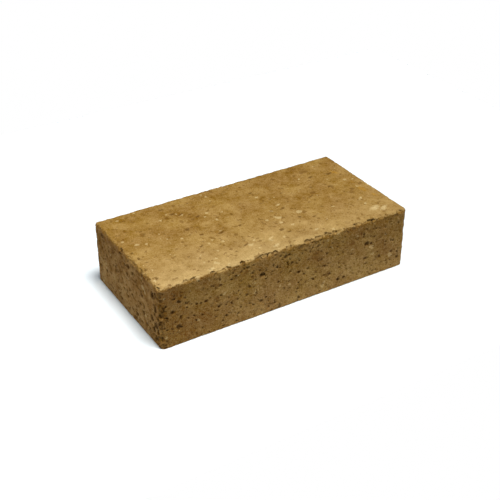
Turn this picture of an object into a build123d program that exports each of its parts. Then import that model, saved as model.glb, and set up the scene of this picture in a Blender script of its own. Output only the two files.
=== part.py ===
from build123d import *
import os

# A block of tuff, the light volcanic stone, sawn to the size of a large brick.
# It lies on its bed face with its length along X. The origin is the centre of
# the bed face, and the long face that faces -Y has the most crumbled arris.

# Driving dimensions, in millimetres
LENGTH = 250.0
WIDTH = LENGTH / 2.0
HEIGHT = 60.0

CORNER_WEAR = 3.0        # rounding of the four upright arrises
TOP_WEAR = 2.5           # rounding of the arris round the top face
BED_WEAR = 0.8           # the bed arris has hardly been rubbed

SMALLEST_CRUMB = 3.6     # across the lumps that have broken out of the arrises
LEAST_BITE = 1.2         # how far in from the sharp arris the shallowest one reaches
SMALLEST_HOLLOW = 1.4    # across the open hollows in the faces
FACE_MARGIN = 7.0        # the scattered hollows stay this far from the arrises

HALF_LENGTH = LENGTH / 2.0
HALF_WIDTH = WIDTH / 2.0
MID_HEIGHT = HEIGHT / 2.0

# The six faces, each a plane through its middle that looks out of the stone
TOP = Plane((0, 0, HEIGHT), x_dir=(1, 0, 0), z_dir=(0, 0, 1))
BED = Plane((0, 0, 0), x_dir=(1, 0, 0), z_dir=(0, 0, -1))
FRONT = Plane((0, -HALF_WIDTH, MID_HEIGHT), x_dir=(1, 0, 0), z_dir=(0, -1, 0))
BACK = Plane((0, HALF_WIDTH, MID_HEIGHT), x_dir=(-1, 0, 0), z_dir=(0, 1, 0))
LEFT = Plane((-HALF_LENGTH, 0, MID_HEIGHT), x_dir=(0, -1, 0), z_dir=(-1, 0, 0))
RIGHT = Plane((HALF_LENGTH, 0, MID_HEIGHT), x_dir=(0, 1, 0), z_dir=(1, 0, 0))

# The largest hollows of the two faces that show: across and up from the middle, size
FRONT_HOLLOWS = (
    (-108, -12, 4.6), (-41, 4, 3.2), (-30, 16, 2.8), (-28, 11, 5.0), (-5, 21, 4.0),
    (2, 13, 3.4), (33, 6, 2.8), (42, -12, 3.4), (58, -21, 3.2), (78, 17, 3.4),
    (82, 6, 5.4), (87, 5, 2.8), (81, -9, 4.4), (97, -12, 3.2), (111, -11, 4.4),
)
LEFT_HOLLOWS = (
    (-53, 5, 3.0), (-34, 15, 3.6), (-31, -4, 3.0), (-13, 6, 3.4), (-8, 1, 2.8),
    (10, -5, 3.6), (31, -11, 4.4), (47, -7, 3.4), (49, 17, 3.4),
)

# Steps that never repeat, so that counting in them scatters evenly and by chance
SPACE_STEP = 0.6180
ACROSS_STEP = 0.7549
UP_STEP = 0.5698
SIZE_STEP = 0.4142


def scatter(index, step, first):
    """A share from 0 to 1. Successive indexes fill the range evenly, out of order."""
    return (first + index * step) % 1.0


def between(low, high, part):
    return low + (high - low) * part


def side(distance):
    """Which side of the middle a distance is on: 1, -1, or 0 on the middle itself."""
    return (distance > 0) - (distance < 0)


# The sawn block

def rubbed_block():
    """The block with its arrises rubbed round by handling, least along the bed."""
    block = Box(LENGTH, WIDTH, HEIGHT, align=(Align.CENTER, Align.CENTER, Align.MIN))
    block = fillet(block.edges().filter_by(Axis.Z), CORNER_WEAR)
    block = fillet(block.faces().sort_by(Axis.Z)[-1].edges(), TOP_WEAR)
    return fillet(block.faces().sort_by(Axis.Z)[0].edges(), BED_WEAR)


# The grains of pumice and ash that have fallen out, each leaving its own socket

def grain(size, index, first):
    """A stubby lump of five or six sides, tapered to both ends and turned at random."""
    outline = RegularPolygon(size * 0.56, 5 + index % 2)
    lump = extrude(outline, amount=size * 0.42, both=True, taper=24)
    turn = Rot(
        360.0 * scatter(index, SPACE_STEP, first),
        360.0 * scatter(index, ACROSS_STEP, first),
        360.0 * scatter(index, SIZE_STEP, first),
    )
    return turn * lump


def crumbs(start, end, count, largest, deepest, first):
    """Grains lost along one arris, uneven in size, in spacing and in how deep they sat."""
    middle = (start + end) / 2.0
    inward = Vector(-side(middle.X), -side(middle.Y), -side(middle.Z - MID_HEIGHT)).normalized()
    lost = []
    for index in range(count):
        along = (index + scatter(index, SPACE_STEP, first)) / count
        size = between(SMALLEST_CRUMB, largest, scatter(index, SIZE_STEP, first) ** 2)
        bite = between(LEAST_BITE, deepest, scatter(index, UP_STEP, first))
        lump = grain(size, index, first)
        tip = max(corner.center().dot(inward) for corner in lump.vertices())
        lost.append(Pos(start + (end - start) * along + inward * (bite - tip)) * lump)
    return lost


def arris_crumbs():
    """Crumbs of the arrises. Those round the front left corner are knocked, the bed is whole."""
    front_left = Vector(-HALF_LENGTH, -HALF_WIDTH, HEIGHT)
    front_right = Vector(HALF_LENGTH, -HALF_WIDTH, HEIGHT)
    back_right = Vector(HALF_LENGTH, HALF_WIDTH, HEIGHT)
    back_left = Vector(-HALF_LENGTH, HALF_WIDTH, HEIGHT)
    foot = Vector(0, 0, -HEIGHT)
    worst_from = front_left + (front_right - front_left) * 0.37
    worst_to = front_left + (front_right - front_left) * 0.81
    knocked_to = front_left + (back_left - front_left) * 0.6

    lost = crumbs(front_left, front_right, 40, 9.0, 3.2, 0.13)
    lost += crumbs(worst_from, worst_to, 13, 8.0, 3.8, 0.87)
    lost += crumbs(front_left, front_left + foot, 14, 7.5, 3.8, 0.37)
    lost += crumbs(front_left, knocked_to, 12, 7.5, 2.9, 0.71)

    lost += crumbs(knocked_to, back_left, 5, 5.5, 2.0, 0.71)
    lost += crumbs(front_right, back_right, 8, 5.0, 1.8, 0.29)
    lost += crumbs(back_left, back_right, 12, 4.8, 1.7, 0.53)
    lost += crumbs(front_right, front_right + foot, 4, 5.5, 2.3, 0.91)
    lost += crumbs(back_right, back_right + foot, 4, 5.5, 2.3, 0.17)
    lost += crumbs(back_left, back_left + foot, 4, 5.5, 2.3, 0.83)
    return lost


def hollow(face, across, up, size, index, first):
    """One open hollow. The grain that left it sat about half in the sawn-off waste."""
    height = size * between(0.0, 0.2, scatter(index, SPACE_STEP, first))
    return face * Pos(across, up, height) * grain(size, index, first)


def known_hollows(face, places, first):
    return [hollow(face, *place, index, first) for index, place in enumerate(places)]


def scattered_hollows(face, long_way, short_way, count, largest, first):
    """Hollows spread by chance over a face. Squaring the index keeps them out of rows."""
    reach_across = long_way / 2.0 - FACE_MARGIN
    reach_up = short_way / 2.0 - FACE_MARGIN
    hollows = []
    for index in range(count):
        across = between(-reach_across, reach_across, scatter(index, ACROSS_STEP, first))
        up = between(-reach_up, reach_up, scatter(index * index, UP_STEP, first))
        size = between(SMALLEST_HOLLOW, largest, scatter(index, SIZE_STEP, first) ** 2)
        hollows.append(hollow(face, across, up, size, index, first))
    return hollows


def face_hollows():
    """Hollows of all six faces: small ones on the rubbed top, more on the sawn sides."""
    hollows = known_hollows(FRONT, FRONT_HOLLOWS, 0.30)
    hollows += known_hollows(LEFT, LEFT_HOLLOWS, 0.60)
    hollows += scattered_hollows(FRONT, LENGTH, HEIGHT, 42, 3.6, 0.30)
    hollows += scattered_hollows(LEFT, WIDTH, HEIGHT, 21, 3.6, 0.09)
    hollows += scattered_hollows(BACK, LENGTH, HEIGHT, 30, 5.0, 0.82)
    hollows += scattered_hollows(RIGHT, WIDTH, HEIGHT, 16, 5.0, 0.65)
    hollows += scattered_hollows(TOP, LENGTH, WIDTH, 24, 2.8, 0.34)
    hollows += scattered_hollows(BED, LENGTH, WIDTH, 20, 4.0, 0.10)
    return hollows


# The finished block

tuff_block = rubbed_block() - arris_crumbs()
tuff_block = tuff_block - face_hollows()

os.makedirs("parts", exist_ok=True)
export_step(tuff_block, "parts/tuff_block.step")
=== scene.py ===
import math

import bmesh
import bpy
import numpy as np
from mathutils import Matrix, Vector


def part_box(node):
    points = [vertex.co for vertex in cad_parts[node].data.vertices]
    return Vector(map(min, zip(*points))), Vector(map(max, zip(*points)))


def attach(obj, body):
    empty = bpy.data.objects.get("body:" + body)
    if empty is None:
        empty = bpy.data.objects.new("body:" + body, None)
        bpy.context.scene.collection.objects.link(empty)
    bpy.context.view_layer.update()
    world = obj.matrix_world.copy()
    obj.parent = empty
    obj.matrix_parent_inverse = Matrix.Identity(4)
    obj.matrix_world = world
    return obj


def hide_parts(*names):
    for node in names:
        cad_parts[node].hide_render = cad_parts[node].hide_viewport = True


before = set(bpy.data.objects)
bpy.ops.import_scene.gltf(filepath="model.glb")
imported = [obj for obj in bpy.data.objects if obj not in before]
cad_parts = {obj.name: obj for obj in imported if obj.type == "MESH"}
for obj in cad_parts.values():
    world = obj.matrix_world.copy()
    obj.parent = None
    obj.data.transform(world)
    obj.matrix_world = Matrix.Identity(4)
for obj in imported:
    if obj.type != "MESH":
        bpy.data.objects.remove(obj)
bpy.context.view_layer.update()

# The block
# One piece of tuff, volcanic ash and pumice set into a light, open stone, sawn on all six faces.
# The frame gives its size, its rubbed arrises and its larger hollows. Here the same stone gets its
# finer relief: grit, bubbles that the saw cut open, and arrises that handling has crumbled.

MM = 0.001
STONE_STEP = 0.5            # mm between the points that the relief moves
STONE_TRIANGLES = 196_000   # the relief is thinned to these, most of them round the hollows
block_low, block_high = (np.array(corner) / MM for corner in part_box("tuff_block"))


def even_mesh(source, step):
    """The same closed shape as source, remade of squares about one step across."""
    rough = bpy.data.objects.new("rough_block", source.data.copy())
    bpy.context.scene.collection.objects.link(rough)
    remesh = rough.modifiers.new("even points", "REMESH")
    remesh.mode = "VOXEL"
    remesh.voxel_size = step * MM
    even = bpy.data.meshes.new_from_object(rough.evaluated_get(bpy.context.evaluated_depsgraph_get()))
    bpy.data.objects.remove(rough)
    return even


def rows(owner, name):
    """Positions or normals of all the points of a mesh, as rows of x, y, z."""
    values = np.empty(len(owner) * 3, np.float32)
    owner.foreach_get(name, values)
    return values.reshape(-1, 3)


# Odd numbers that stir the bits of a cell's place, so that neighbouring cells share nothing
STIR_X, STIR_Y, STIR_Z = np.uint32(73856093), np.uint32(19349663), np.uint32(83492791)
STIR_SALT, FIRST_SALT = 2654435, 12345
STIR_ONCE, STIR_TWICE = np.uint32(2246822519), np.uint32(3266489917)
HIGHEST = 0xFFFFFF   # of the lowest 24 bits, which are the ones used


def chance(cell, salt):
    """A number from 0 to 1 for each whole-number cell of space, the same on every run. Another
    salt gives other numbers."""
    x, y, z = cell.astype(np.uint32).T
    mixed = x * STIR_X ^ y * STIR_Y ^ z * STIR_Z
    mixed = (mixed ^ np.uint32(salt * STIR_SALT + FIRST_SALT)) * STIR_ONCE
    mixed = (mixed ^ (mixed >> np.uint32(15))) * STIR_TWICE
    mixed = mixed ^ (mixed >> np.uint32(13))
    return (mixed & np.uint32(HIGHEST)).astype(np.float32) / HIGHEST


def lumps(points, size, salt):
    """Smooth, uneven lumps about one size across, from -1 to 1."""
    place = points / size
    cell = np.floor(place)
    part = place - cell
    part = part * part * (3 - 2 * part)
    total = np.zeros(len(points), np.float32)
    for corner in np.ndindex(2, 2, 2):
        near = np.where(corner, part, 1 - part).prod(axis=1)
        total += near * chance(cell.astype(np.int64) + corner, salt)
    return total * 2 - 1


def smooth(low, high, value):
    """0 where the value is at or under low, 1 at or over high, and a soft step between."""
    part = np.clip((value - low) / (high - low), 0, 1)
    return part * part * (3 - 2 * part)


def fading(distance, reach):
    """1 at no distance, a third at the reach, and next to nothing at twice the reach."""
    return np.exp(-(distance / reach) ** 2)


def facing(normal_part):
    """How squarely the surface faces one way, from the part of its normal that points there: 1 up
    to about 25 degrees off, and 0 past 60."""
    return smooth(0.5, 0.9, normal_part)


# Cut bubbles. The ash settled as it set, so its bubbles are lower than they are wide.

BUBBLE_FLATNESS = np.array((1.0, 1.0, 1.3))


def far_wall(points, inward, centre, radius):
    """How far in from each point the far wall of a ball lies, and 0 for a point outside it."""
    away = points - centre
    steepness = (inward ** 2).sum(axis=1)
    along = -(away * inward).sum(axis=1)
    room = radius ** 2 - (away ** 2).sum(axis=1)
    wall = (along + np.sqrt(np.maximum(along ** 2 + room * steepness, 0))) / steepness
    return np.where(room > 0, wall, 0)


def bubble_walls(points, inward, spacing, smallest, largest, share, salt):
    """How far in from each point the far wall of a cut bubble lies, and 0 where none is cut.
    Space is cells of one spacing, and that share of them has a bubble each, most of them small."""
    points = points * BUBBLE_FLATNESS
    inward = inward * BUBBLE_FLATNESS
    first = np.round(points / spacing).astype(np.int64) - 1
    deepest = np.zeros(len(points), np.float32)
    for step in np.ndindex(2, 2, 2):
        cell = first + step
        shift = np.stack([chance(cell, salt + axis) for axis in range(3)], axis=1)
        radius = smallest + (largest - smallest) * chance(cell, salt + 3) ** 2
        radius[chance(cell, salt + 4) > share] = 0
        deepest = np.maximum(deepest, far_wall(points, inward, (cell + shift) * spacing, radius))
    return deepest


# Where on the block a point is, and how hard the block was knocked there

SPOT_DEPTH = 4.0        # mm under the top that its pits and spots go down
KNOCK_REACH = 4.5       # mm over which knocks fade, away from the front and left top arrises
UPRIGHT_REACH = 5.0     # mm over which they fade on the front, away from the upright arris
END_REACH = 2.2         # how many times as far they reach on the end
LAST_KNOCKS = 60, 95    # mm from the front, between which most of those on the left top arris end
HANDLED_REACH = 3.0     # mm that plain handling reaches, round every arris
SPARED_REACH = 9.0      # mm, round the top of the front left corner
WHOLE_FOOT = 6.0        # mm above the bed in which the knocks die out


def below_faces(points):
    """For each point, how far it lies under the two sawn faces nearest to it."""
    to_faces = np.minimum(points - block_low, block_high - points)
    return np.sort(to_faces, axis=1)[:, :2].T


def near_upright(points, reach):
    """1 at the upright arris of the front left corner, fading over a reach in mm along the front,
    and over a longer one on the end."""
    from_left, from_front, _ = (points - block_low).T
    return fading(np.hypot(from_front / END_REACH, from_left), reach)


def ovals(points, places):
    """Where some ovals lie on the top: 1 at the middle of one, 0 at its rim, less outside."""
    inside = np.full(len(points), -1.0)
    for x, y, long_way, short_way, turn in places:
        across, up = points[:, 0] - x, points[:, 1] - y
        along = across * math.cos(math.radians(turn)) + up * math.sin(math.radians(turn))
        aside = up * math.cos(math.radians(turn)) - across * math.sin(math.radians(turn))
        inside = np.maximum(inside, 1 - 2 * np.hypot(along / long_way, aside / short_way))
    return np.where(block_high[2] - points[:, 2] < SPOT_DEPTH, inside, -1.0)


def knocked(points):
    """How hard a place was knocked, 0 to 1: most along the arrises by the front left corner. The
    top of that corner was spared more than half of it, and the arrises round the bed all of it."""
    from_left, from_front, from_bed = (points - block_low).T
    from_top = block_high[2] - points[:, 2]
    front_top = fading(np.hypot(from_front, from_top), KNOCK_REACH)
    left_top = fading(np.hypot(from_left, from_top), KNOCK_REACH)
    left_top = left_top * (1 - 0.8 * smooth(*LAST_KNOCKS, from_front))
    upright = 0.6 * near_upright(points, UPRIGHT_REACH)
    any_arris = 0.2 * fading(below_faces(points)[1], HANDLED_REACH)
    hit = np.maximum.reduce([front_top, left_top, upright, any_arris])
    spared = 1 - 0.6 * near_upright(points, SPARED_REACH) * fading(from_top, SPARED_REACH)
    return hit * spared * smooth(0.0, WHOLE_FOOT, from_bed)


# The relief of the real surface, all of it inward from the sawn faces

TOP_PITS = (   # the largest pits in the top: x, y, length and breadth in mm, turn in degrees
    (-60, 39, 6, 4, 10), (-61, 9, 6, 4, 20), (-54, -5, 4, 3, 0), (-38, -11, 8, 4, 15),
    (-64, -22, 4, 3, 30), (-42, 24, 6, 3, 20), (-65, 51, 5, 3, 0), (-54, 35, 6, 3, 25),
    (30, -3, 5, 4, 20), (9, -34, 6, 4, 40), (13, -40, 5, 3, 10), (-30, -39, 7, 3, 25),
    (-32, -60, 6, 5, 70), (46, -30, 5, 3, 0), (85, 33, 6, 3, 20), (104, 30, 7, 4, 0),
    (20, 36, 6, 3, 20), (90, 9, 6, 3, 25), (-18, -9, 5, 3, 60), (64, 2, 8, 2, 22),
    (-118, -46, 5, 3, 80), (-120, -30, 5, 3, 80), (-117, -12, 5, 3, 75),
)
ARRIS_PITS = (   # pits along the knocked upright arris, then on the end and the front beside it:
                 # x, y, z, radius in mm
    (-124, -62, 54, 2.4), (-124, -62, 48, 2.7), (-124, -62, 43, 2.3), (-124, -62, 38, 2.0),
    (-123, -62, 33, 2.8), (-124, -62, 26, 2.5), (-124, -62, 20, 2.4), (-124, -62, 10, 3.0),
    (-123, -62, 4, 2.0),
    (-125, -55, 51, 2.2), (-125, -49, 47, 2.7), (-125, -54, 36, 2.4), (-125, -51, 30, 1.8),
    (-125, -57, 29, 2.0), (-125, -47, 24, 2.8), (-125, -57, 15, 2.4), (-125, -49, 14, 2.5),
    (-125, -56, 8, 2.0),
    (-113, -63, 34, 2.3), (-107, -63, 42, 1.9), (-100, -63, 38, 1.7), (-108, -63, 16, 1.6),
    (-106, -63, 17, 1.5),
)
GRIT = ((1.3, 0.14, 1), (3.1, 0.16, 2), (17.0, 0.15, 3))   # size and depth of its lumps in mm, salt
GRIT_MIDDLE = 0.36      # mm in from the sawn face to the middle of the grit
WORN_SMOOTH = 0.65      # share of the relief that hands have worn off the top
CRUMBLE_DEPTH = 2.0     # mm, the deepest that an arris has crumbled
PITTED_REACH = 7.0      # mm on the front, away from the upright arris, where its pits lie
TOP_PIT_DEPTH = 0.9     # mm
TEAR = 0.6              # mm that the rims of the bubbles stray, so that they aren't round


def weathered(points, normals):
    """The points moved inward to the stone's real surface."""
    inward = -normals
    left_open = 1 - WORN_SMOOTH * facing(normals[:, 2])
    on_ends = facing(np.abs(normals[:, 0]))
    on_left_end = facing(-normals[:, 0])
    by_upright = smooth(0.25, 0.6, near_upright(points, PITTED_REACH))

    # Grit, and arrises that crumbled in lumps of 7.5 mm with smaller ones of 2.8 mm on them
    grit = sum(depth * lumps(points, size, salt) for size, depth, salt in GRIT)
    grit = (grit + GRIT_MIDDLE) * left_open
    crumbling = smooth(-0.1, 0.9, lumps(points, 7.5, salt=4) + 0.7 * lumps(points, 2.8, salt=5))
    crumble = CRUMBLE_DEPTH * crumbling * knocked(points)

    # Bubbles that the saw cut open: where they are, their spacing, least and greatest radius in mm,
    # the share of the cells that has one, and the salt. The left end has the most.
    torn = points + TEAR * np.stack([lumps(points, 2.0, salt=40 + axis) for axis in range(3)], axis=1)
    pores = TOP_PIT_DEPTH * np.sqrt(np.clip(ovals(torn, TOP_PITS), 0, 1))
    for where, spacing, smallest, largest, share, salt in (
            (left_open, 5.2, 0.6, 1.7, 0.50, 10), (left_open, 3.0, 0.5, 1.2, 0.70, 20),
            (by_upright, 4.4, 1.0, 2.1, 0.85, 30), (on_ends, 4.2, 0.9, 1.8, 0.55, 70),
            (on_left_end, 6.0, 1.3, 2.7, 0.70, 60)):
        walls = bubble_walls(torn, inward, spacing, smallest, largest, share, salt)
        pores = np.maximum(pores, walls * where)
    for x, y, z, radius in ARRIS_PITS:
        pores = np.maximum(pores, far_wall(torn, inward, (x, y, z), radius))
    return points + inward * (grit + crumble + pores)[:, None]


def keep_largest_part(mesh):
    """Drops the parts of a mesh that hang on nothing, which are hollows closed off in the stone."""
    whole = bmesh.new()
    whole.from_mesh(mesh)
    unseen, parts = set(whole.verts), []
    while unseen:
        part, reached = set(), [next(iter(unseen))]
        while reached:
            point = reached.pop()
            if point in unseen:
                unseen.remove(point)
                part.add(point)
                reached += [edge.other_vert(point) for edge in point.link_edges]
        parts.append(part)
    largest = max(parts, key=len)
    stray = [point for point in whole.verts if point not in largest]
    bmesh.ops.delete(whole, geom=stray, context="VERTS")
    whole.to_mesh(mesh)
    whole.free()


stone = even_mesh(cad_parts["tuff_block"], STONE_STEP)
raw_points = rows(stone.vertices, "co") / MM
raw_normals = rows(stone.vertex_normals, "vector")
moved = np.clip(weathered(raw_points, raw_normals), block_low, block_high) * MM
stone.vertices.foreach_set("co", moved.astype(np.float32).ravel())

block = bpy.data.objects.new("tuff_stone", stone)
bpy.context.scene.collection.objects.link(block)
thin = block.modifiers.new("fewer triangles", "DECIMATE")
thin.ratio = STONE_TRIANGLES / (2 * len(stone.polygons))   # each square is two triangles
thin.use_collapse_triangulate = True
block.data = bpy.data.meshes.new_from_object(block.evaluated_get(bpy.context.evaluated_depsgraph_get()))
block.modifiers.clear()
keep_largest_part(block.data)
block.data.shade_smooth()
kept_points = np.clip(rows(block.data.vertices, "co") / MM, block_low, block_high)
block.data.vertices.foreach_set("co", (kept_points * MM).astype(np.float32).ravel())


# What the colours need to know of each point: how dirty, how rubbed, and where pumice is. All
# distances are in mm.

PUMICE = (   # the largest flecks that the rubbed top shows: x, y, length, breadth, turn in degrees
    (-20, 19, 3.0, 2.0, 20), (-83, 3, 3.2, 2.2, 70), (-92, -21, 3.0, 2.4, 0), (-77, -14, 2.4, 2.0, 40),
    (-47, -4, 2.2, 1.8, 0), (-76, -36, 2.6, 1.8, 10), (-74, -57, 7.0, 3.4, 15), (-121, -49, 5.0, 3.0, 80),
    (30, 4, 6.5, 2.6, 25), (15, -24, 5.0, 3.4, 60), (22, -32, 4.0, 2.6, 30), (35, -50, 5.5, 3.2, 15),
    (52, -40, 2.6, 2.4, 0), (-7, -42, 7.5, 2.8, 28), (-21, -37, 4.0, 2.0, 30), (-23, -50, 3.4, 3.0, 0),
    (96, 20, 2.6, 3.4, 0), (115, 35, 3.4, 2.2, 50), (101, -25, 6.5, 3.0, 25), (99, -35, 2.8, 2.8, 0),
    (101, -46, 13.0, 7.0, 22), (108, -50, 13.0, 5.0, 30), (100, 49, 3.6, 3.0, 0), (-65, 40, 3.0, 2.0, 10),
    (-74, 34, 4.5, 2.0, 30), (-9, -54, 9.0, 4.0, 20), (70, 0, 2.6, 2.0, 0), (-64, -45, 4.0, 3.0, 10),
)
OCHRE = (    # stains of yellow ochre near the right end, measured in the same way
    (113, -12, 13.0, 6.0, 100), (116, -26, 9.0, 4.0, 100), (110, 29, 12.0, 5.0, 110), (113, 5, 6.0, 3.0, 90),
)


def mean_of_neighbours(mesh, points, rounds):
    """The points after they have been drawn to the mean of their neighbours so many times."""
    ends = np.empty(len(mesh.edges) * 2, np.int32)
    mesh.edges.foreach_get("vertices", ends)
    start, end = ends.reshape(-1, 2).T
    count = np.bincount(ends, minlength=len(points))
    for _ in range(rounds):
        points = np.stack([
            (np.bincount(start, points[end, axis], len(points))
             + np.bincount(end, points[start, axis], len(points))) / count for axis in range(3)], axis=1)
    return points


def paint(name, values):
    """Gives each point of the block a value, which the finish reads by its name."""
    block.data.attributes.new(name, "FLOAT", "POINT").data.foreach_set("value", values.astype(np.float32))


from_left, from_front, from_bed = (kept_points - block_low).T
from_right, from_back, from_top = (block_high - kept_points).T
from_end = np.minimum(from_left, from_right)
from_side = np.minimum.reduce([from_end, from_front, from_back])
sunk, to_arris = below_faces(kept_points)
normals = rows(block.data.vertex_normals, "vector")

# Dirt and painted shade: darker in hollows deeper than half a millimetre and in small dents, but
# little on the arrises, which are rubbed clean, except the knocked upright one. Deep hollows are
# dark by themselves, so they have less of it, though not in the ends.
evened = mean_of_neighbours(block.data, kept_points, rounds=6)
cavity = ((evened - kept_points) * normals).sum(axis=1)
inside_arris = smooth(2.5, 5.5, to_arris)
open_to_dirt_and_shade = np.maximum(smooth(-1.5, 5.5, to_arris), near_upright(kept_points, 9.0))
dirt_and_shade = np.maximum(smooth(0.5, 1.5, sunk) * inside_arris, smooth(0.08, 0.5, cavity) * open_to_dirt_and_shade)
in_end = smooth(0.8, 1.2, from_top) * smooth(1.0, 2.5, from_front) * (from_end < 3.0)
paint("dirt_and_shade", dirt_and_shade * (1 - 0.35 * smooth(1.0, 2.5, sunk) * (1 - in_end)) * (1 + 0.15 * in_end))

# The rubbed skin, pale from wear and also painted light where it rolls over the rounded arrises: the
# top and what rolls over its arrises, down to a ragged line that lies lower toward the right. The
# walls of hollows in the top aren't rubbed, and it is less pale by the left arris.
toward_right = smooth(110.0, 200.0, from_left)
ragged = 2.0 * lumps(kept_points, 6.5, salt=50) + 1.5 * lumps(kept_points, 2.4, salt=51)
lower = 0.6 + 0.9 * toward_right - 1.8 * np.exp(-from_left / 4.0)
rubbed = 1 - smooth(-0.5, 1.0, from_top - 0.9 * from_side + ragged - lower)
# Walls that face away from up keep the darker sawn colour, as painted shade
rubbed = rubbed * smooth(0.1, 0.55, normals[:, 2])
# The top is less pale by the left arris, fading over some 8 mm
less_pale_by_left = 1 - 0.3 * np.exp(-from_left / 8.0)
paint("rubbed", rubbed * less_pale_by_left * (1 - 0.7 * smooth(0.9, 1.8, sunk) * inside_arris))

# The palest part of the top, along its front and fading over 30 mm
front_paleness = rubbed * np.exp(-from_front / 30.0) * (0.8 + 0.2 * lumps(kept_points, 22.0, salt=52))
paint("paler_front", front_paleness * (1 - 0.5 * toward_right) * (1 - 0.8 * smooth(1.0, 3.5, from_top)) * less_pale_by_left)

# Soil on the front beside the knocked arris, the sides paler toward their foot away from it, and the ends
paint("soiled", (1 - rubbed) * np.exp(-from_left / 32.0 - from_front / 1.8))
past_arris = np.maximum(smooth(20.0, 110.0, from_left), smooth(6.0, 20.0, from_front) * (from_left < 3.0))
paint("paler_foot", (1 - rubbed) * (1 - smooth(0.0, 50.0, from_bed)) * past_arris)
paint("end", (1 - rubbed) * facing(np.abs(normals[:, 0])))

# Painted shade in the largest pits of the top, then the ochre stains and pumice flecks
paint("top_pit_shade", ovals(kept_points, TOP_PITS))
paint("pumice", ovals(kept_points, PUMICE))
paint("ochre", ovals(kept_points, OCHRE))


# The map for baking: each triangle laid flat from the sawn face nearest to it, as six patches
# with gaps between them. In order, they are the left and the right end, turned to stand beside
# the top, then the front, the back, the bed and the top.

MAP_SIDE = 384.0   # mm of stone across the map
MAP_GAP = 4.0      # mm
length, width, height = block_high - block_low
MAP_PATCHES = (   # across and up the patch as axes of the block, and where its low corner goes
    ((2, 1), (length + MAP_GAP, 0)), ((2, 1), (length + height + 2 * MAP_GAP, 0)),
    ((0, 2), (0, 2 * width + 2 * MAP_GAP)), ((0, 2), (0, 2 * width + height + 3 * MAP_GAP)),
    ((0, 1), (0, width + MAP_GAP)), ((0, 1), (0, 0)),
)


def lay_out(mesh, points):
    """Adds the map, from the points of the mesh in mm."""
    corners = np.empty(len(mesh.loops), np.int32)
    mesh.loops.foreach_get("vertex_index", corners)
    middles = points[corners].reshape(-1, 3, 3).mean(axis=1)
    to_faces = np.stack([middles - block_low, block_high - middles], axis=2).reshape(-1, 6)
    nearest = np.repeat(to_faces.argmin(axis=1), 3)
    flat = np.zeros((len(corners), 2))
    for face, (axes, low_corner) in enumerate(MAP_PATCHES):
        here = nearest == face
        on_face = (points - block_low)[corners[here]][:, axes]
        flat[here] = (on_face + low_corner) / MAP_SIDE
    mesh.uv_layers.new(name="OFBake").data.foreach_set("uv", flat.astype(np.float32).ravel())


lay_out(block.data, kept_points)


# The finish

def linear(hex_colour):
    """An sRGB hex colour as the linear RGBA that the shader takes."""
    channels = [int(hex_colour[place:place + 2], 16) / 255 for place in (0, 2, 4)]
    return [c / 12.92 if c <= 0.04045 else ((c + 0.055) / 1.055) ** 2.4 for c in channels] + [1.0]


def add(tree, kind, settings={}, links={}):
    """Adds one node. Settings are its properties or input values, links its input sockets."""
    node = tree.nodes.new(kind)
    for name, value in settings.items():
        if isinstance(name, str) and hasattr(node, name):
            setattr(node, name, value)
        else:
            node.inputs[name].default_value = value
    for name, socket in links.items():
        tree.links.new(socket, node.inputs[name])
    return node


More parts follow.
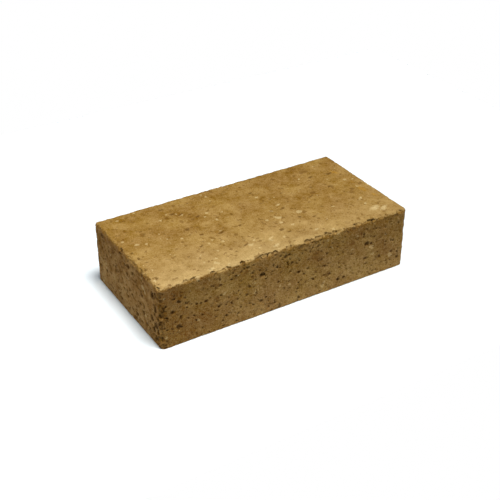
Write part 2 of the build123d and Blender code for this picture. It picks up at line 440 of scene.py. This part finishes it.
def sawn_tuff():
    """Tuff as the saw leaves it: matt, ochre, flecked with pale pumice and dark pores, with shade painted
    into its pores and hollows.
    """
    material = bpy.data.materials.new("sawn_tuff")
    material.use_nodes = True
    tree = material.node_tree
    shader = tree.nodes["Principled BSDF"]

    # Stone bends light as glass does, but the sawn grit is so rough and open that it hardly shines
    shader.inputs["IOR"].default_value = 1.5
    shader.inputs["Roughness"].default_value = 0.92
    shader.inputs["Specular IOR Level"].default_value = 0.12

    place = add(tree, "ShaderNodeTexCoord").outputs["Object"]
    names = ("dirt_and_shade", "rubbed", "paler_front", "soiled", "paler_foot", "end", "top_pit_shade", "pumice", "ochre")
    painted = {name: add(tree, "ShaderNodeAttribute", {"attribute_name": name}).outputs["Fac"]
               for name in names}

    # The ground mass: browner and redder where it is sawn, paler where hands have rubbed the top, and
    # as painted light where the top rolls over its arrises, with painted shade on walls that face away from
    # up.
    # Both have clouds of yellower ash some 30 mm across. The edge of the rubbed skin is torn by
    # the grain of the ash, some 1.4 mm coarse, and the front of the top is paler still.
    clouds = add(tree, "ShaderNodeTexNoise", {"Scale": 1 / (30 * MM), "Detail": 2.0}, {"Vector": place})
    cloud = add(tree, "ShaderNodeMapRange", {"From Min": 0.35, "From Max": 0.65},
                {"Value": clouds.outputs["Fac"]}).outputs["Result"]
    side = add(tree, "ShaderNodeMixRGB", {"Color1": linear("7B592A"), "Color2": linear("85652F")},
               {"Fac": cloud})
    sawn = add(tree, "ShaderNodeMixRGB", {"Color2": linear("85602E")},
               {"Fac": painted["end"], "Color1": side.outputs["Color"]})
    skin = add(tree, "ShaderNodeMixRGB", {"Color1": linear("8B6830"), "Color2": linear("987639")},
               {"Fac": cloud})
    tear = add(tree, "ShaderNodeTexNoise", {"Scale": 1 / (1.4 * MM), "Detail": 2.0}, {"Vector": place})
    edge = add(tree, "ShaderNodeMath", {"operation": "MULTIPLY_ADD", 1: 1.2},
               {0: tear.outputs["Fac"], 2: painted["rubbed"]})
    rubbed_part = add(tree, "ShaderNodeMapRange", {"From Min": 0.9, "From Max": 1.3},
                      {"Value": edge.outputs[0]}).outputs["Result"]
    ash = add(tree, "ShaderNodeMixRGB", {},
              {"Fac": rubbed_part, "Color1": sawn.outputs["Color"], "Color2": skin.outputs["Color"]})
    paler_front_part = add(tree, "ShaderNodeMath", {"operation": "MULTIPLY", 1: 0.95}, {0: painted["paler_front"]})
    colour = add(tree, "ShaderNodeMixRGB", {"Color2": linear("BC9E67")},
                 {"Fac": paler_front_part.outputs[0], "Color1": ash.outputs["Color"]}).outputs["Color"]

    # The ash is uneven at every size, from clouds down to sand grains: size in mm, strength on the
    # long sides, on the ends and on the rubbed top. Its pale parts are whiter and its dark parts
    # browner, so red moves the most and blue the least. The ends cut across the beds of the ash.
    paler = (1.0, 0.76, 0.37)   # the shares of red, green and blue in what makes the ash paler
    for size, on_sides, on_ends, on_top in (
            (14, 0.028, 0.045, 0.045), (6, 0.021, 0.040, 0.034), (2.8, 0.024, 0.020, 0.034),
            (1.3, 0.050, 0.025, 0.048), (0.8, 0.062, 0.030, 0.052)):
        patches = add(tree, "ShaderNodeTexNoise", {"Scale": 1 / (size * MM), "Detail": 1.0},
                      {"Vector": place})
        tone = add(tree, "ShaderNodeMapRange", {"From Min": 0.25, "From Max": 0.75, "To Min": -1.0},
                   {"Value": patches.outputs["Fac"]})
        sawn_strength = add(tree, "ShaderNodeMapRange", {"To Min": on_sides, "To Max": on_ends},
                            {"Value": painted["end"]})
        strength = add(tree, "ShaderNodeMapRange", {"To Max": on_top},
                       {"Value": rubbed_part, "To Min": sawn_strength.outputs["Result"]})
        change = add(tree, "ShaderNodeMath", {"operation": "MULTIPLY"},
                     {0: tone.outputs["Result"], 1: strength.outputs["Result"]})
        colour = add(tree, "ShaderNodeVectorMath", {"operation": "MULTIPLY_ADD", 1: paler},
                     {0: change.outputs[0], 2: colour}).outputs["Vector"]

    # The foot of the sides is paler, and soil from hands lies by the near upright arris
    foot_paleness = add(tree, "ShaderNodeMath", {"operation": "MULTIPLY", 1: 0.05}, {0: painted["paler_foot"]})
    colour = add(tree, "ShaderNodeVectorMath", {"operation": "MULTIPLY_ADD", 1: paler},
                 {0: foot_paleness.outputs[0], 2: colour}).outputs["Vector"]
    soil = add(tree, "ShaderNodeMath", {"operation": "MULTIPLY", 1: 0.5}, {0: painted["soiled"]})
    colour = add(tree, "ShaderNodeMixRGB", {"Color2": linear("5A3A18")},
                 {"Fac": soil.outputs[0], "Color1": colour}).outputs["Color"]

    # Broken bits of rock set in it, some of pale pumice and some dark: size in mm, and the shares
    # of the cells that are pale and dark. Their edges are torn by the grain too.
    torn = add(tree, "ShaderNodeVectorMath", {"operation": "MULTIPLY_ADD", 1: (1.4 * MM,) * 3},
               {0: tear.outputs["Color"], 2: place}).outputs["Vector"]
    paleness = add(tree, "ShaderNodeMapRange", {"To Min": 0.3, "To Max": 0.5}, {"Value": rubbed_part})
    darkness = add(tree, "ShaderNodeMapRange", {"To Min": 0.6, "To Max": 0.5}, {"Value": rubbed_part})
    for size, pale_share, dark_share in ((4.4, 0.004, 0.010), (2.3, 0.008, 0.03)):
        bits = add(tree, "ShaderNodeTexVoronoi", {"Scale": 1 / (size * MM)}, {"Vector": torn})
        kind = add(tree, "ShaderNodeSeparateColor", {}, {"Color": bits.outputs["Color"]}).outputs["Red"]
        is_pale = add(tree, "ShaderNodeMath", {"operation": "LESS_THAN", 1: pale_share}, {0: kind})
        is_dark = add(tree, "ShaderNodeMath", {"operation": "GREATER_THAN", 1: 1 - dark_share}, {0: kind})
        pale = add(tree, "ShaderNodeMath", {"operation": "MULTIPLY"},
                   {0: is_pale.outputs[0], 1: paleness.outputs["Result"]})
        dark = add(tree, "ShaderNodeMath", {"operation": "MULTIPLY"},
                   {0: is_dark.outputs[0], 1: darkness.outputs["Result"]})
        colour = add(tree, "ShaderNodeMixRGB", {"Color2": linear("CBB27C")},
                     {"Fac": pale.outputs[0], "Color1": colour}).outputs["Color"]
        colour = add(tree, "ShaderNodeMixRGB", {"Color2": linear("644010")},
                     {"Fac": dark.outputs[0], "Color1": colour}).outputs["Color"]

    # Painted shade in the largest pits of the top, then the stains of ochre and the largest flecks of
    # pumice, which are all torn at their edges
    for name, spot_colour, strength in (("top_pit_shade", "6E4C18", 0.6), ("ochre", "A87B28", 0.6),
                                  ("pumice", "CCB27C", 0.8)):
        edge = add(tree, "ShaderNodeMath", {"operation": "MULTIPLY_ADD", 1: 1.8},
                   {0: tear.outputs["Fac"], 2: painted[name]})
        inside = add(tree, "ShaderNodeMapRange", {"From Min": 0.75, "From Max": 1.5, "To Max": strength},
                     {"Value": edge.outputs[0]})
        colour = add(tree, "ShaderNodeMixRGB", {"Color2": linear(spot_colour)},
                     {"Fac": inside.outputs["Result"], "Color1": colour}).outputs["Color"]

    # Painted shade of shallow pores that are in the colour only: dark spots up to about 2 mm across and
    # lower than wide, one at most to a cell of 4 mm, and plainest in the sawn sides. Most real ones are
    # finer, too fine to show from where the camera stands, so these are drawn coarser.
    low = add(tree, "ShaderNodeVectorMath", {"operation": "MULTIPLY", 1: (1.0, 1.0, 1.6)}, {0: torn})
    fine = add(tree, "ShaderNodeTexVoronoi", {"Scale": 1 / (4.0 * MM)}, {"Vector": low.outputs["Vector"]})
    pick = add(tree, "ShaderNodeSeparateColor", {}, {"Color": fine.outputs["Color"]})
    reach = add(tree, "ShaderNodeMapRange", {"From Min": 0.35, "To Min": 0.0, "To Max": 0.34},
                {"Value": pick.outputs["Green"]})
    pore_shade = add(tree, "ShaderNodeMath", {"operation": "SUBTRACT"},
               {0: reach.outputs["Result"], 1: fine.outputs["Distance"]})
    open_pore_shade = add(tree, "ShaderNodeMapRange", {"From Min": 0.0, "From Max": 0.12},
                    {"Value": pore_shade.outputs[0]})
    closed = add(tree, "ShaderNodeMapRange", {"To Min": 0.85, "To Max": 0.25}, {"Value": rubbed_part})
    pore_shade_part = add(tree, "ShaderNodeMath", {"operation": "MULTIPLY"},
                    {0: open_pore_shade.outputs["Result"], 1: closed.outputs["Result"]})
    colour = add(tree, "ShaderNodeMixRGB", {"Color2": linear("40280A")},
                 {"Fac": pore_shade_part.outputs[0], "Color1": colour}).outputs["Color"]

    # Dirt and painted shade darken the hollows, less those of the top, which are wiped by hands
    less_on_top = add(tree, "ShaderNodeMapRange", {"To Min": 0.8, "To Max": 0.55}, {"Value": rubbed_part})
    dirt_and_shade_part = add(tree, "ShaderNodeMath", {"operation": "MULTIPLY"},
                {0: painted["dirt_and_shade"], 1: less_on_top.outputs["Result"]})
    colour = add(tree, "ShaderNodeMixRGB", {"Color2": linear("4A2E0A")},
                 {"Fac": dirt_and_shade_part.outputs[0], "Color1": colour}).outputs["Color"]
    tree.links.new(colour, shader.inputs["Base Color"])

    # Fine grit, from 1.6 mm down, most of it too fine for the mesh. The real grit is mostly finer
    # still, and this is drawn coarser so that it shows.
    grains = add(tree, "ShaderNodeTexNoise", {"Scale": 1 / (1.6 * MM), "Detail": 3.0, "Roughness": 0.65},
                 {"Vector": place})
    grit = add(tree, "ShaderNodeBump", {"Strength": 1.0, "Distance": 0.8 * MM},
               {"Height": grains.outputs["Fac"]})
    tree.links.new(grit.outputs["Normal"], shader.inputs["Normal"])
    return material


block.data.materials.clear()
block.data.materials.append(sawn_tuff())
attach(block, "root")
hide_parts("tuff_block")

# The ground
# A small sheet of matt white card that the block lies on, as on a photographer's table. It throws
# light up at the sides, and most at their feet, because it ends not far from the block.

CARD_LEFT, CARD_RIGHT, CARD_FRONT, CARD_BACK = -0.50, 0.45, -0.20, 0.40   # metres

card = bpy.data.meshes.new("white_card")
card_corners = ((CARD_LEFT, CARD_FRONT, 0), (CARD_RIGHT, CARD_FRONT, 0),
                (CARD_RIGHT, CARD_BACK, 0), (CARD_LEFT, CARD_BACK, 0))
card.from_pydata(card_corners, [], [(0, 1, 2, 3)])
ground = bpy.data.objects.new("white_card", card)
bpy.context.scene.collection.objects.link(ground)
matt_card = bpy.data.materials.new("matt_white_card")
matt_card.use_nodes = True
card_shader = matt_card.node_tree.nodes["Principled BSDF"]
card_shader.inputs["Base Color"].default_value = linear("EEF4F5")
card_shader.inputs["Roughness"].default_value = 0.95
card_shader.inputs["Specular IOR Level"].default_value = 0.0
card.materials.append(matt_card)

# The light
# A broad bank of soft boxes high overhead and a little to the front, which acts as one wide sun,
# with a faint bank at the front right, whose shade falls back to the left, and a near box over
# the front left corner, which brightens that end of the top.

def tilt(lean_right, lean_front):
    """The turn of a lamp that shines down from so many degrees to the right and to the front."""
    away = Vector((math.tan(math.radians(lean_right)), -math.tan(math.radians(lean_front)), 1.0))
    return away.to_track_quat("Z", "Y").to_euler()


def place_lamp(name, lamp, place, turn):
    box = bpy.data.objects.new(name, lamp)
    box.location = place
    box.rotation_euler = turn
    bpy.context.scene.collection.objects.link(box)


overhead = bpy.data.lights.new("overhead", "SUN")
overhead.energy = 3.45
overhead.angle = math.radians(20)
place_lamp("overhead", overhead, (0, 0, 3), tilt(6, 14))

side_bank = bpy.data.lights.new("front_right", "SUN")
side_bank.energy = 0.3
side_bank.angle = math.radians(30)
place_lamp("front_right", side_bank, (1, -1, 1), tilt(35, 25))

near = bpy.data.lights.new("near", "AREA")
near.size = 0.25
near.energy = 0.8
place_lamp("near", near, (-0.40, -0.20, 0.42), tilt(-40, 24))

# The room. Its walls look white, but the light that they throw back is faint and a little cool.
ROOM_LIGHT = 0.15   # as a share of how bright the walls look

world = bpy.data.worlds.new("studio")
world.use_nodes = True
seen = add(world.node_tree, "ShaderNodeLightPath").outputs["Is Camera Ray"]
tint = add(world.node_tree, "ShaderNodeMixRGB", {"Color1": linear("CCDEF5"), "Color2": linear("FFFFFF")},
           {"Fac": seen})
brightness = add(world.node_tree, "ShaderNodeMapRange", {"To Min": ROOM_LIGHT, "To Max": 1.0},
                 {"Value": seen})
background = world.node_tree.nodes["Background"]
world.node_tree.links.new(tint.outputs["Color"], background.inputs["Color"])
world.node_tree.links.new(brightness.outputs["Result"], background.inputs["Strength"])
bpy.context.scene.world = world
bpy.context.scene.view_settings.view_transform = "Standard"

# The camera
# It stands off the front left corner and looks down, as in the photograph. The uprights lean
# together a little, where the photograph's are parallel, because the lens is a plain one with no
# shift, and a shift would push the block out of the other views.

AZIMUTH = math.radians(-31.46)    # to the left of straight in front
ELEVATION = math.radians(32.05)   # above the block, looking down
DISTANCE = 0.9                    # metres from the middle of the bed face, along the view
ASIDE = -0.0019                   # metres that it then moves to the right of its view
ABOVE = 0.0198                    # and up
LENS = 70.49                      # mm

back = Vector((math.sin(AZIMUTH) * math.cos(ELEVATION), -math.cos(AZIMUTH) * math.cos(ELEVATION),
               math.sin(ELEVATION)))
right = Vector((math.cos(AZIMUTH), math.sin(AZIMUTH), 0))
up = back.cross(right)
camera_data = bpy.data.cameras.new("camera")
camera_data.lens = LENS
camera = bpy.data.objects.new("camera", camera_data)
stand = back * DISTANCE + right * ASIDE + up * ABOVE
camera.matrix_world = Matrix.Translation(stand) @ Matrix((right, up, back)).transposed().to_4x4()
bpy.context.scene.collection.objects.link(camera)
bpy.context.scene.camera = camera
